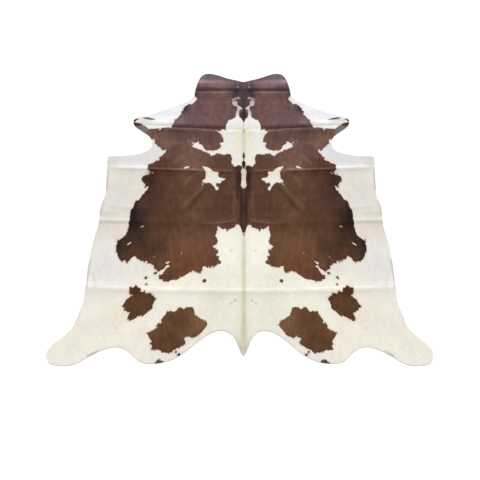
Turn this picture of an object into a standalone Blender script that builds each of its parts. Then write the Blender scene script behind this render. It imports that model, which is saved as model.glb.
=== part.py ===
"""A cowhide rug: one tanned skin with its hair on, lying flat, with the creases of its folding.

Metres, +Z up. The spine runs along Y, with the tail towards -Y and the neck towards +Y. The origin is
on the floor, under the middle of the rug's box.
"""

from collections import namedtuple
import math

import bpy
from mathutils import Vector
from mathutils.geometry import delaunay_2d_cdt

# Driving dimensions.
THICKNESS = 0.003         # the leather with its hair pressed flat
RIGHT_SHARE = 0.961       # width of the right side over the width of the left one

# How finely the skin is cut into faces.
EDGE_STEP = 0.024         # longest piece of the edge between two points
COLUMN_STEP = 0.085       # distance between the points of one row
ROW_GAP = 0.095           # widest gap between two rows
RIM_CLEARANCE = 0.016     # points of a row stay this far inside the edge
ROWS_ON_A_SIDE = 3        # rows between a crease's line and the end of its slope

# The left edge, from the notch of the neck round to the tip of the tail. "out" is the distance from the
# spine, "up" the distance from a line just below the hind feet, and a corner is a turn that isn't rounded.
Turn = namedtuple("Turn", "out up corner", defaults=(False,))
NECK = (
    Turn(0.000, 2.119),
    Turn(0.050, 2.135),
    Turn(0.123, 2.161),
    Turn(0.208, 2.203),
    Turn(0.264, 2.217),
    Turn(0.303, 2.203),
    Turn(0.324, 2.167),
    Turn(0.343, 2.081),
    Turn(0.353, 1.978),
)
FRONT_LEG = (
    Turn(0.353, 1.952, corner=True),
    Turn(0.396, 1.900),
    Turn(0.467, 1.860),
    Turn(0.552, 1.804),
    Turn(0.647, 1.753),
    Turn(0.725, 1.731),
    Turn(0.757, 1.694),
    Turn(0.749, 1.656),
    Turn(0.682, 1.590),
    Turn(0.622, 1.529),
    Turn(0.603, 1.468),
    Turn(0.613, 1.419),
    Turn(0.654, 1.389),
    Turn(0.743, 1.364),
    Turn(0.800, 1.359),
)
FLANK = (
    Turn(0.877, 1.354, corner=True),
    Turn(0.864, 1.264),
    Turn(0.847, 1.129),
    Turn(0.836, 1.040),
    Turn(0.848, 0.930),
    Turn(0.835, 0.850),
    Turn(0.843, 0.700),
    Turn(0.841, 0.557),
    Turn(0.825, 0.400),
    Turn(0.822, 0.330),
    Turn(0.833, 0.244),
)
HIND_LEG = (
    Turn(0.849, 0.183),
    Turn(0.877, 0.148),
    Turn(0.920, 0.108),
    Turn(0.942, 0.066),
    Turn(0.923, 0.021),
    Turn(0.875, 0.007),
    Turn(0.802, 0.012),
    Turn(0.739, 0.050),
    Turn(0.680, 0.082),
    Turn(0.629, 0.096),
    Turn(0.578, 0.088),
    Turn(0.531, 0.057),
    Turn(0.494, 0.025),
    Turn(0.430, 0.015),
    Turn(0.361, 0.027),
)
TAIL = (
    Turn(0.303, 0.056),
    Turn(0.227, 0.120),
    Turn(0.157, 0.169),
    Turn(0.112, 0.179),
    Turn(0.072, 0.170),
    Turn(0.042, 0.141),
    Turn(0.019, 0.090),
    Turn(0.000, 0.053),
)
LEFT_EDGE = NECK + FRONT_LEG + FLANK + HIND_LEG + TAIL

# The creases that the folded hide kept. "up" is where the line meets the spine, "rise" how far it climbs
# for each metre outwards, "height" how high the skin stands off the floor, "spread" how far the slope
# reaches on each side. A ridge peaks on its line. A trough touches the floor there, between two swells.
Crease = namedtuple("Crease", "up rise form height spread")
CREASES = (
    Crease(0.389, 0.027, "ridge", 0.0070, 0.075),
    Crease(0.823, 0.025, "ridge", 0.0070, 0.075),
    Crease(1.216, 0.046, "ridge", 0.0080, 0.080),
    Crease(1.608, 0.040, "trough", 0.0040, 0.090),
    Crease(2.016, 0.000, "trough", 0.0055, 0.100),
)
UNEVENNESS = 0.22         # share by which a crease's height comes and goes along its line
UNEVEN_WAVELENGTH = 0.62

HAIR_BROWN = (0.105, 0.048, 0.030, 1.0)
HAIR_ROUGHNESS = 0.62


def clear_the_scene():
    for thing in list(bpy.data.objects):
        bpy.data.objects.remove(thing, do_unlink=True)


def all_round(left_edge):
    """The closed edge: the left side as it stands, then the narrower right side on the way back."""
    left = [(Vector((-turn.out, turn.up)), turn.corner) for turn in left_edge]
    right = [(Vector((turn.out * RIGHT_SHARE, turn.up)), turn.corner) for turn in left_edge[-2:0:-1]]
    return left + right


def direction_at(before, here, after, corner, towards):
    """The edge's direction and speed at a turn, as one of the two pieces that meet there sees it."""
    if corner:
        return towards
    back, onward = (here - before).length, (after - here).length
    return ((here - before) / back * onward + (after - here) / onward * back) / (back + onward)


def edge_points(turns):
    """Points along the smooth curve through the turns, at most EDGE_STEP apart."""
    points = []
    for number, (here, corner) in enumerate(turns):
        before = turns[number - 1][0]
        following, next_corner = turns[(number + 1) % len(turns)]
        beyond = turns[(number + 2) % len(turns)][0]
        span = (following - here).length
        straight = (following - here) / span
        leave = direction_at(before, here, following, corner, straight) * span
        arrive = direction_at(here, following, beyond, next_corner, straight) * span
        steps = math.ceil(span / EDGE_STEP)
        for step in range(steps):
            t = step / steps
            points.append(
                here * (2 * t**3 - 3 * t**2 + 1) + leave * (t**3 - 2 * t**2 + t)
                + following * (3 * t**2 - 2 * t**3) + arrive * (t**3 - t**2)
            )
    return points


def outward(across):
    """Distance from the spine in the left side's measure, on either side."""
    return -across if across < 0 else across / RIGHT_SHARE


def line_height(crease, across):
    return crease.up + crease.rise * outward(across)


def crease_lift(crease, across, up):
    share = abs(up - line_height(crease, across)) / crease.spread
    if share >= 1.0:
        return 0.0
    uneven = 1.0 + UNEVENNESS * math.sin(2 * math.pi * (across / UNEVEN_WAVELENGTH + crease.up))
    slope = (1.0 - share) ** 2
    if crease.form == "trough":
        slope *= 6.75 * share          # 6.75 brings the swells' tops to the full height
    return crease.height * uneven * slope


def lift(across, up):
    """How high the underside stands off the floor."""
    return sum(crease_lift(crease, across, up) for crease in CREASES)


def row_heights():
    """The rows of points as pairs (up, rise): close together on the creases, and wider in between."""
    rows = []
    for crease in CREASES:
        for number in range(-ROWS_ON_A_SIDE, ROWS_ON_A_SIDE + 1):
            rows.append((crease.up + crease.spread * number / ROWS_ON_A_SIDE, crease.rise))
    lowest, highest = (0.0, 0.0), (max(turn.up for turn in LEFT_EDGE), 0.0)
    rows = [lowest] + rows + [highest]
    filled = []
    for (up, rise), (next_up, next_rise) in zip(rows, rows[1:]):
        pieces = max(1, math.ceil((next_up - up) / ROW_GAP))
        for piece in range(pieces):
            share = piece / pieces
            filled.append((up + (next_up - up) * share, rise + (next_rise - rise) * share))
    return filled + [highest]


def is_inside(point, edge):
    """True where the point lies within the edge and RIM_CLEARANCE clear of it."""
    crossings = 0
    for start, end in zip(edge, edge[1:] + edge[:1]):
        along = end - start
        share = max(0.0, min(1.0, (point - start).dot(along) / along.length_squared))
        if (point - start - along * share).length < RIM_CLEARANCE:
            return False
        if (start.y > point.y) != (end.y > point.y):
            if point.x < start.x + along.x * (point.y - start.y) / along.y:
                crossings += 1
    return crossings % 2 == 1


def inner_points(edge):
    widest = max(turn.out for turn in LEFT_EDGE)
    columns = math.ceil(widest / COLUMN_STEP)
    points = []
    for up, rise in row_heights():
        for column in range(-columns, columns + 1):
            across = column * COLUMN_STEP * (RIGHT_SHARE if column > 0 else 1.0)
            point = Vector((across, up + rise * outward(across)))
            if is_inside(point, edge):
                points.append(point)
    return points


def skin_mesh(edge):
    """The closed skin: an upper and a lower surface of the same faces, and a narrow rim."""
    count = len(edge)
    rim = [(number, (number + 1) % count) for number in range(count)]
    flat, _, faces, *_ = delaunay_2d_cdt(edge + inner_points(edge), [], [list(range(count))], 1, 1e-5)

    centre_across = (min(point.x for point in edge) + max(point.x for point in edge)) / 2
    centre_up = (min(point.y for point in edge) + max(point.y for point in edge)) / 2
    heights = [lift(point.x, point.y) for point in flat]
    floor = min(heights)
    lower = [(p.x - centre_across, p.y - centre_up, z - floor) for p, z in zip(flat, heights)]
    upper = [(x, y, z + THICKNESS) for x, y, z in lower]
    total = len(flat)
    top_faces = [list(face) for face in faces]
    bottom_faces = [[corner + total for corner in reversed(face)] for face in faces]
    walls = [[a, a + total, b + total, b] for a, b in rim]

    mesh = bpy.data.meshes.new("cowhide")
    mesh.from_pydata(upper + lower, [], top_faces + bottom_faces + walls)
    mesh.validate()
    mesh.update()
    return mesh


def hair_material():
    material = bpy.data.materials.new("hair_on_hide")
    material.use_nodes = True
    shader = material.node_tree.nodes["Principled BSDF"]
    shader.inputs["Base Color"].default_value = HAIR_BROWN
    shader.inputs["Roughness"].default_value = HAIR_ROUGHNESS
    shader.inputs["Metallic"].default_value = 0.0
    material.diffuse_color = HAIR_BROWN
    return material


def build():
    clear_the_scene()
    edge = edge_points(all_round(LEFT_EDGE))
    cowhide = bpy.data.objects.new("cowhide", skin_mesh(edge))
    cowhide.data.materials.append(hair_material())
    bpy.context.scene.collection.objects.link(cowhide)


build()
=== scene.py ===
"""A cowhide rug with its hair on: the tanned skin, and the short coat that lies on it in locks.

Everything is placed by two measures. "across" is the distance from the spine, negative on the left, and
"up" the distance from a line just below the hind feet towards the neck. The right side of this skin is a
little narrower than the left one, and "out" is the distance from the spine in the left side's measure.
"""

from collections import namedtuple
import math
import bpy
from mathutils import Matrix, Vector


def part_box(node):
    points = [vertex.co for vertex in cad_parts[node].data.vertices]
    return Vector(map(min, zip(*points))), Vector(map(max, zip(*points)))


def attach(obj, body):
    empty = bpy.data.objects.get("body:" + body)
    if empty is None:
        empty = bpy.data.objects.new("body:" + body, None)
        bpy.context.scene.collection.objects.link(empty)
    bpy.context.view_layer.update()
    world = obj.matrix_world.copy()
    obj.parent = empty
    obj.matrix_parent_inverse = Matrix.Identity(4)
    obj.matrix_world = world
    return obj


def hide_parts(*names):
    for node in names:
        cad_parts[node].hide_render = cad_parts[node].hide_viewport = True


bl_info = {
    "name": "Cowhide Rug",
    "version": (1, 0, 0),
    "blender": (4, 5, 0),
    "location": "3D View > Sidebar > Rug",
    "description": "Makes the skin and the hair coat of a cowhide rug, and a plain stage for it",
    "category": "Object",
}

import bmesh
import bpy
from bpy.props import FloatProperty, FloatVectorProperty, PointerProperty
from mathutils import Vector
from mathutils.geometry import delaunay_2d_cdt
import numpy as np

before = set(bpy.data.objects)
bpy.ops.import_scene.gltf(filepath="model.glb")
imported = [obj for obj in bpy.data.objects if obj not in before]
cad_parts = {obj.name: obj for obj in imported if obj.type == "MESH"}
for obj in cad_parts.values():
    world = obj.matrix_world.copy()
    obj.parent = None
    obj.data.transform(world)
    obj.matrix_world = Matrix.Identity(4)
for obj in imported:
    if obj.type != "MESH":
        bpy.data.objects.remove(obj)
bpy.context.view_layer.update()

NODE = "cowhide"
BODY = "root"

LOW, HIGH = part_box(NODE)
RIGHT_SHARE = 0.961  # width of the right side over the width of the left one
SPINE_X = LOW.x + (HIGH.x - LOW.x) / (1 + RIGHT_SHARE)
FOOT_Y = LOW.y - 0.0052  # where "up" is zero
CM = 0.01

# The creases that the folded hide kept, as they are in the part.
Crease = namedtuple("Crease", "up rise form height spread")
CREASES = (
    Crease(0.389, 0.027, "ridge", 0.0070, 0.075),
    Crease(0.823, 0.025, "ridge", 0.0070, 0.075),
    Crease(1.216, 0.046, "ridge", 0.0080, 0.080),
    Crease(1.608, 0.040, "trough", 0.0040, 0.090),
    Crease(2.016, 0.000, "trough", 0.0055, 0.100),
)
UNEVENNESS = 0.22
UNEVEN_WAVELENGTH = 0.62
TROUGH_GAIN = 6.75  # brings the tops of a trough's swells to its full height

# The borders of the markings on the left side, as (out, up) in centimetres. A border that meets the spine
# runs on past it, and one that meets the edge of the skin runs on outside it. A later marking lies on the
# earlier ones: "dark" hair grows inside its border, or "pale" hair. "fray" is how much the border frays,
# "grown" how far the hair reaches past it on all sides, and "hung" how far it hangs down besides.
Marking = namedtuple("Marking", "hair border fray grown hung", defaults=(1.0, 0.0, 0.0))
SADDLE = Marking("dark", (
    (-5, 226), (42, 226), (42, 197.5), (35.4, 195.6), (34.3, 194.6), (33.4, 193.1), (33.7, 191.6),
    (35.3, 190), (36.5, 187.6), (38.1, 186.5), (38.5, 187.8), (40.1, 187.5), (42.2, 183.4), (43.8, 179.6),
    (43.6, 176.6), (44.3, 175), (46.1, 172.9), (47.1, 171.1), (47.9, 168.9), (49.1, 164.6), (49.4, 163),
    (52.1, 163.2), (54.9, 163.2), (56.1, 162.6), (56.6, 160.7), (57.3, 161.6), (58.2, 162.3), (60, 162.3),
    (62.1, 161.6), (63.9, 161.6), (65.7, 162.5), (68.9, 165.2), (69.6, 166.5), (71.8, 167.2), (73, 167.9),
    (75.2, 168.7), (80, 169.4), (80, 151), (63, 151.4), (60.4, 152), (59.6, 151.4), (59.1, 149.1),
    (58.4, 147.2), (56.6, 145.4), (54.9, 144.2), (53.9, 142.7), (53, 140.9), (51.6, 142.9), (50.2, 140.2),
    (51.1, 138.6), (52.9, 137.2), (53.8, 135.8), (54.6, 133.7), (54.8, 132.1), (56.5, 131.6), (57.5, 131.1),
    (59, 129.8), (61.2, 129), (61.2, 127.6), (60.5, 126.4), (61.2, 125.2), (58.6, 122.7), (58.9, 121.8),
    (61.7, 119.7), (62.9, 119.1), (64, 116.9), (61.6, 112.9), (60.2, 109), (59.6, 109.9), (59, 111.4),
    (58.3, 110.7), (58.6, 108.7), (60, 106.1), (61.3, 104.3), (62, 102.1), (62.9, 100.4), (64.5, 99.3),
    (65.9, 95.5), (66.7, 91.8), (66.7, 87.9), (65.8, 86.1), (66.7, 83.9), (66.4, 79.6), (66.3, 77),
    (66.5, 75.3), (68.8, 72.4), (70.5, 71.6), (71.4, 70.8), (71, 68.9), (71.5, 66.7), (70.9, 64.6),
    (69.5, 61.8), (67.5, 58.4), (66.6, 57.6), (64.5, 57.1), (63.4, 55.9), (62.2, 57.5), (61.5, 59.8),
    (60.1, 60.5), (59, 59.8), (58, 58.6), (56.4, 58.6), (55.7, 57.4), (54.6, 56.8), (52.9, 57.7),
    (52.1, 56.4), (50.4, 56), (48.5, 54.2), (47.6, 51.9), (46.8, 51), (44.7, 51.7), (43.4, 52.6),
    (42.1, 54.2), (40.8, 55.4), (40.1, 55.2), (42.2, 51.4), (42.8, 50.3), (44.7, 49.1), (45.2, 47.9),
    (44.6, 46.1), (43.2, 45.2), (41.5, 45), (39.7, 45.3), (38.4, 46), (36.6, 45.8), (33.1, 47.7),
    (30.4, 49.1), (29.3, 50.3), (27, 51.1), (23.2, 50.2), (22.2, 51.9), (22, 53.7), (20.9, 54.4),
    (19.9, 53.9), (17.7, 53.6), (15.6, 54.1), (14.1, 55), (13.1, 56.1), (12.5, 57.3), (13.3, 58.4),
    (13.4, 59.6), (14.7, 60.7), (15, 62.1), (14.2, 63.5), (14.4, 64.8), (15.9, 66.1), (18.4, 67),
    (15.2, 68.8), (15, 70.4), (14.6, 71.8), (15.1, 73.1), (16.5, 74.5), (15.5, 76.1), (15.2, 77.5),
    (15.3, 79.3), (16, 80.6), (14.1, 80.4), (12.6, 79.7), (11.4, 78.5), (9, 77.6), (7.2, 78.7), (4, 81.2),
    (2.6, 81.7), (1.7, 81), (1, 79.7), (0.4, 76.1), (0, 74.9), (-5, 74.9),
), grown=0.09, hung=0.35)
SMALL_HIND_PATCH = Marking("dark", (
    (60, 41.3), (58, 41.5), (57.2, 42.7), (55.7, 41.6), (53.8, 40.6), (53.9, 39.3), (53.1, 38.3),
    (51.7, 39.5), (50.3, 37.8), (47.9, 37.6), (46.8, 36.1), (45.2, 35.4), (46.4, 31.1), (46.4, 29.6),
    (48.9, 27.1), (50.4, 25.7), (51.8, 24.8), (52.9, 25.2), (53.9, 24.3), (55.7, 23.5), (57, 22.3),
    (58.2, 22.9), (58.4, 24.9), (58.2, 26.7), (59.6, 27.9), (60.4, 27.7), (61, 29.2), (62.5, 30.4),
    (60.9, 34.1), (57.7, 36.1), (59.3, 37.3),
), fray=0.7)
LARGE_HIND_PATCH = Marking("dark", (
    (39.1, 27.5), (37, 27.9), (35, 27.8), (34, 29.2), (32.5, 29.8), (31.1, 29.6), (30.5, 29), (29.7, 28.9),
    (28.8, 29.7), (26.6, 29.9), (25.6, 28.9), (24.7, 27.1), (24.7, 26), (21.3, 23.8), (19, 23.2),
    (18.8, 21.8), (17.8, 21), (19.7, 18), (22.4, 14.2), (24.9, 13.9), (27, 14.1), (28.4, 13.7),
    (28.9, 12.5), (27.8, 11.3), (28.3, 10.1), (30.1, 9.6), (31.2, 8.5), (33, 7.9), (34, 6.7), (35.6, 5.7),
    (38, 5.8), (39.9, 7.1), (42, 7.6), (44, 7.4), (44.8, 8.4), (44.3, 9.3), (45.7, 11.3), (44.8, 12.1),
    (45.9, 13.5), (46.8, 14.3), (47, 15.2), (48.4, 16.2), (46.7, 17.2), (44.9, 17.7), (43.1, 18.9),
    (44, 20.3), (42.5, 21.4), (41.3, 21.7), (41.1, 23.7), (40, 25), (39.3, 26.3),
), fray=0.7, grown=-0.05)
STAR = Marking("pale", (
    (-5, 180), (5.5, 180), (5.2, 177.9), (5.2, 175.4), (6.1, 173.2), (7.5, 171.6), (9.9, 170.5),
    (11.2, 168.7), (12.2, 164.6), (12.2, 160.6), (13.7, 160.6), (16.2, 162.1), (15.2, 160.4), (16.8, 159.7),
    (20.3, 161.1), (17, 158.3), (15.4, 156.1), (14.1, 153.9), (13.4, 151.4), (13.7, 149.4), (15.6, 148.4),
    (15.9, 147.3), (15.3, 146.3), (15.1, 144.6), (15.5, 142.7), (18.6, 141.1), (20, 140.7), (22.5, 141.2),
    (24.5, 141.3), (25.5, 142.6), (27.6, 146.4), (29.3, 148), (30.6, 149.8), (31.9, 148.5), (33.4, 148.3),
    (35.8, 149.3), (33.3, 146.3), (34.7, 144.9), (32.7, 143.3), (29.9, 142.3), (27.8, 141.2), (25.7, 139.8),
    (23.4, 138.6), (20.7, 136), (18.2, 137.1), (17.5, 137.8), (15, 137.6), (12.9, 136.9), (11.4, 137.1),
    (10.5, 138), (9.3, 137.7), (8.3, 136.4), (7.4, 134.8), (7.5, 133), (8.3, 130.3), (7.4, 128.7),
    (5.4, 126.3), (4.1, 126.8), (2.9, 127.8), (1.8, 126.8), (1.1, 125.4), (2, 122.4), (2, 121.2),
    (1.4, 120), (1.9, 118.4), (1.3, 115.4), (1.9, 113.4), (2.1, 111.4), (1.1, 109.6), (0, 108.4),
    (-5, 108.4),
), fray=0.8, grown=-0.2)
CURL = Marking("pale", (
    (8.2, 190.3), (8.4, 188.5), (7.9, 186.4), (6.8, 185.1), (5, 184.4), (4.4, 183.1), (4.8, 181.4),
    (4.8, 179.6), (3.2, 179.2), (2.3, 180.5), (0.5, 181.7), (1.1, 183.1), (2, 184.4), (3.2, 185.5),
    (4.5, 186.7), (4.1, 188.9), (4.6, 190.1), (6.4, 190.6),
), fray=0.3, grown=-0.18)
HIGH_CURL = Marking("pale", (
    (8.1, 192.6), (6.6, 193.4), (5.3, 194.5), (4, 195), (2.9, 194.3), (2.6, 193.1), (4.2, 192.4),
    (5.4, 191.6), (6.8, 190.9), (8.2, 191.2),
), fray=0.3)
ISLAND = Marking("pale", (
    (27, 127.9), (25.7, 127), (23, 126.4), (21.3, 125), (19.8, 123.4), (18.1, 122.4), (16, 122.3),
    (15.4, 121.4), (16, 119.6), (15.2, 118.1), (10.8, 116.2), (12.5, 114.9), (13.7, 114.5), (14.1, 113),
    (15, 112.5), (16.4, 113), (17, 111.9), (16.4, 110.5), (15.2, 109.2), (15.2, 108.2), (16.2, 106.8),
    (17.1, 107.6), (17.9, 109.6), (19.3, 111.7), (21.4, 113.5), (23.2, 113), (25.1, 113.1), (25.8, 114.3),
    (25.5, 115.4), (23.9, 116.5), (24.2, 120.4), (24, 122.1), (24.9, 124.3), (26.1, 125.9),
), fray=0.4, grown=-0.12)
TEARDROP = Marking("dark", (
    (-5, 182), (0.6, 182), (2.5, 181.4), (2.9, 179.6), (3, 177.1), (3.1, 174.8), (2.4, 173), (1.2, 170.7),
    (0, 168.2), (-5, 168.2),
), fray=0.3)
LENS = Marking("dark", (
    (-5, 139.2), (0.1, 139.2), (0.8, 137.2), (0.8, 135.2), (0.2, 133.4), (0.2, 132), (0.8, 131.2),
    (1.2, 129.6), (1.2, 127.6), (0.7, 126), (0.1, 124.3), (-5, 124.3),
), fray=0.1)
LEG_MARK = Marking("dark", (
    (69.8, 172.9), (68.2, 173), (65.4, 172.5), (63.6, 171.8), (61.6, 170.7), (63.8, 170.8), (66, 171.2),
    (69.3, 171.9),
), fray=0.15, grown=0.15)
LEG_TIP = Marking("dark", (
    (79, 171.9), (74.8, 171.9), (72.9, 171.5), (74.1, 170.7), (75.3, 170.1), (74.6, 169.4), (75.6, 169.1),
    (79, 169.2),
), fray=0.2, grown=0.15)
EDGE_MARK = Marking("dark", (
    (42.2, 1.8), (41.3, 2.6), (40, 2.9), (38.8, 2.5), (37.9, 2), (37.6, 0), (42.3, 0),
), fray=0.3)
MARKINGS = (
    SADDLE, SMALL_HIND_PATCH, LARGE_HIND_PATCH, STAR, CURL, HIGH_CURL, ISLAND, TEARDROP, LENS, LEG_MARK,
    LEG_TIP, EDGE_MARK,
)

# Small round or slanting spots of hair, in centimetres. "lean" turns the spot's long way, in degrees.
Fleck = namedtuple("Fleck", "out up wide high lean hair")
FLECKS = [Fleck(*row) for row in (
    (52.1, 46.9, 1.6, 2, 0, "dark"),
    (51.3, 42.9, 1.3, 1.4, 20, "dark"),
    (47.4, 49.6, 2, 1.5, 15, "dark"),
    (20.8, 45, 2.2, 2, 50, "dark"),
    (32.5, 6.7, 1.4, 1, 30, "dark"),
    (31.3, 5.4, 1.9, 1.1, 10, "dark"),
    (58.4, 80.1, 2.1, 1.1, 20, "pale"),
    (64.4, 68.4, 2.9, 0.9, 40, "pale"),
    (41.7, 56, 1.7, 1.3, 20, "pale"),
    (36.3, 126.1, 4, 1.4, 20, "pale"),
    (40.9, 56.4, 1.4, 0.6, 30, "pale"),
    (49.1, 59.8, 1.5, 1.1, 0, "pale"),
    (34.3, 62.3, 1.6, 1.7, 0, "pale"),
    (57.6, 121.2, 1.8, 0.9, 50, "pale"),
    (25.4, 111.8, 1.2, 1.5, 0, "pale"),
)]

# How the hair's tone changes over the skin, in centimetres. Most rows are the hair's own colour, but the
# rows marked painted below put the light on the hair into its colour: its sheen, and the lit and shaded
# bands of its folds and creases. Each tone is strongest at (out, up), where it takes "share" of the hair,
# and fades out past its reach.
Tone = namedtuple("Tone", "out up reach_out reach_up colour share")
DARK_HAIR = (99, 70, 55)
DARK_TONES = [Tone(*row) for row in (
    # painted: on the neck the purplish grey is painted sheen, and the light band from about 208 to 214 up,
    # strongest at (31, 212.6), is a painted highlight on the neck's fold
    (18, 210, 26, 9, (134, 108, 113), 0.9),  # neck
    (26, 216.8, 7, 2.2, (121, 101, 115), 0.85),
    (25, 220.2, 7, 2.4, (106, 98, 108), 0.95),
    (31, 212.6, 4, 2.4, (152, 127, 132), 0.7),
    (31, 218.6, 2.6, 1.8, (134, 126, 133), 0.7),
    (9, 213.5, 4, 3, (110, 86, 88), 0.6),
    (20, 196, 36, 8, (110, 82, 84), 0.85),
    (24, 177, 30, 15, (114, 84, 83), 0.9),  # shoulder
    (39, 171, 5, 5, (121, 97, 102), 0.8),
    (45, 170.5, 3.5, 4, (127, 105, 110), 0.8),
    (25, 170, 6, 4, (124, 94, 94), 0.5),
    (34, 154, 30, 12, (104, 76, 72), 0.75),
    (34, 147.5, 4, 3, (132, 108, 103), 0.75),
    (50, 147, 5, 4, (127, 95, 84), 0.75),
    (45, 159, 5, 2, (90, 68, 67), 0.5),
    (64, 160, 14, 8, (118, 88, 79), 0.8),  # front leg
    (55, 160, 5, 2.5, (101, 79, 79), 0.6),
    (69.5, 159, 4, 4, (142, 124, 126), 0.85),
    (57, 153, 5, 4, (124, 92, 77), 0.7),
    (70, 163, 3, 2.5, (130, 118, 116), 0.6),
    (74, 165, 6, 4, (118, 103, 101), 0.6),
    (38, 138, 20, 8, (121, 90, 79), 0.7),  # breast
    (45, 140, 6, 5, (102, 72, 65), 0.5),
    (36, 132, 5, 4, (125, 97, 84), 0.5),
    (32, 127, 9, 4.5, (128, 96, 81), 0.85),
    (52, 131, 9, 6, (98, 68, 58), 0.6),
    (51.5, 129.5, 4, 4, (82, 54, 45), 0.7),
    (39, 117.5, 6, 3.5, (109, 80, 67), 0.7),
    (9, 130, 12, 8, (90, 63, 51), 0.6),  # withers
    (54, 108, 13, 17, (81, 56, 44), 0.85),  # side
    (46, 84, 10, 8, (84, 57, 43), 0.75),
    (11, 100, 12, 16, (86, 59, 48), 0.65),  # loin
    (10, 97, 4, 8, (78, 54, 45), 0.6),
    (15, 90, 6, 5, (83, 59, 48), 0.6),
    (21, 105, 4, 4, (103, 71, 49), 0.6),
    (9, 116, 3, 4, (84, 58, 43), 0.5),
    (16, 82, 5, 2.5, (110, 81, 66), 0.5),
    (25, 64, 16, 15, (108, 76, 56), 0.8),  # belly
    (33, 52, 12, 7, (107, 72, 48), 0.6),
    (52, 67, 7, 8, (70, 52, 39), 0.75),  # flank
    (66, 89, 10, 19, (45, 35, 33), 0.95),
    (59.5, 99, 4, 6, (86, 60, 50), 0.7),
    (58, 71, 4, 6, (66, 48, 37), 0.6),
    (70, 66, 8, 9, (58, 47, 42), 0.8),
    (33, 20, 24, 14, (99, 71, 51), 1),  # hind patches
    (22, 21, 6, 7, (122, 90, 64), 0.8),
    (28, 16, 3.5, 3.5, (120, 87, 62), 0.6),
    (45, 17, 3, 3, (118, 88, 66), 0.6),
    (37, 10, 8, 4, (92, 70, 53), 0.6),
    (54, 32, 12, 12, (94, 66, 48), 0.8),
    (55.5, 26.5, 3, 2.5, (82, 62, 46), 0.6),
    (56, 38.5, 3.5, 3, (80, 58, 45), 0.6),
    (1, 203, 8, 9, (68, 54, 63), 0.85),  # nape
    (0, 205.5, 1.6, 3, (96, 74, 78), 0.7),
    (5.2, 201, 2.2, 4, (48, 40, 54), 0.8),
    # painted sheen: lilac glints on the black hair of the nape, in this row and the next
    (4.2, 206.2, 0.6, 0.9, (190, 178, 200), 0.65),
    (4.4, 211, 0.8, 2.4, (132, 118, 142), 0.55),
    (7.1, 195.6, 2, 1.6, (64, 56, 50), 0.8),
    (6, 191.6, 3.2, 0.9, (94, 80, 94), 0.7),
    (3, 195, 2.2, 3, (78, 65, 72), 0.6),
    (3.6, 187.6, 1.3, 2.4, (62, 48, 60), 0.7),
    (6.6, 183.2, 2.2, 1.4, (64, 50, 56), 0.7),
    (9, 174.5, 1.8, 4.5, (94, 74, 76), 0.5),
    (0, 188, 2.2, 9, (72, 52, 56), 0.85),
    (0, 175.5, 3.2, 7, (46, 34, 40), 0.95),
    # painted sheen: the grey-lilac glint on the black teardrop
    (2.8, 179.8, 1.6, 1.7, (116, 102, 112), 0.75),
    (39.8, 185, 2.4, 2.8, (46, 33, 34), 0.85),  # dark rim at the shank
    (38, 182, 3, 5, (106, 86, 89), 0.7),
    (42.4, 181.5, 1.4, 4, (54, 38, 40), 0.8),
    (36, 197, 3, 5, (86, 66, 70), 0.6),
    (73, 166.2, 5, 1.3, (48, 42, 42), 0.9),  # leg marks
    (76, 170, 3, 3, (44, 40, 42), 1),
    (66, 172, 6, 2, (92, 90, 90), 1),
    (59, 118, 4, 9, (64, 44, 36), 0.7),
    (0, 130, 1.4, 5, (48, 36, 33), 1),  # spine
    (3.2, 115, 1.4, 11, (52, 34, 28), 0.85),
    (3.2, 105, 1.4, 6, (66, 44, 38), 0.6),
    (3.8, 125.8, 2, 2.6, (58, 38, 33), 0.75),
    (0, 94, 1.9, 15, (68, 45, 38), 0.9),
    (1.6, 95, 0.7, 14, (50, 34, 30), 0.8),
    (0, 79, 2, 5, (74, 52, 37), 0.9),
    (40, 2, 4, 3, (92, 80, 70), 1),  # specks
    (20.8, 45.3, 3, 2.6, (84, 72, 56), 0.9),
    (31.2, 5.2, 1, 0.8, (50, 38, 34), 0.9),
    (32.8, 7, 1, 0.8, (110, 96, 82), 0.9),
    (52, 46.9, 2, 2, (98, 84, 70), 0.9),
    (51.3, 42.6, 2, 1.4, (140, 134, 122), 1),
)]
PALE_HAIR = (234, 230, 222)
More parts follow.
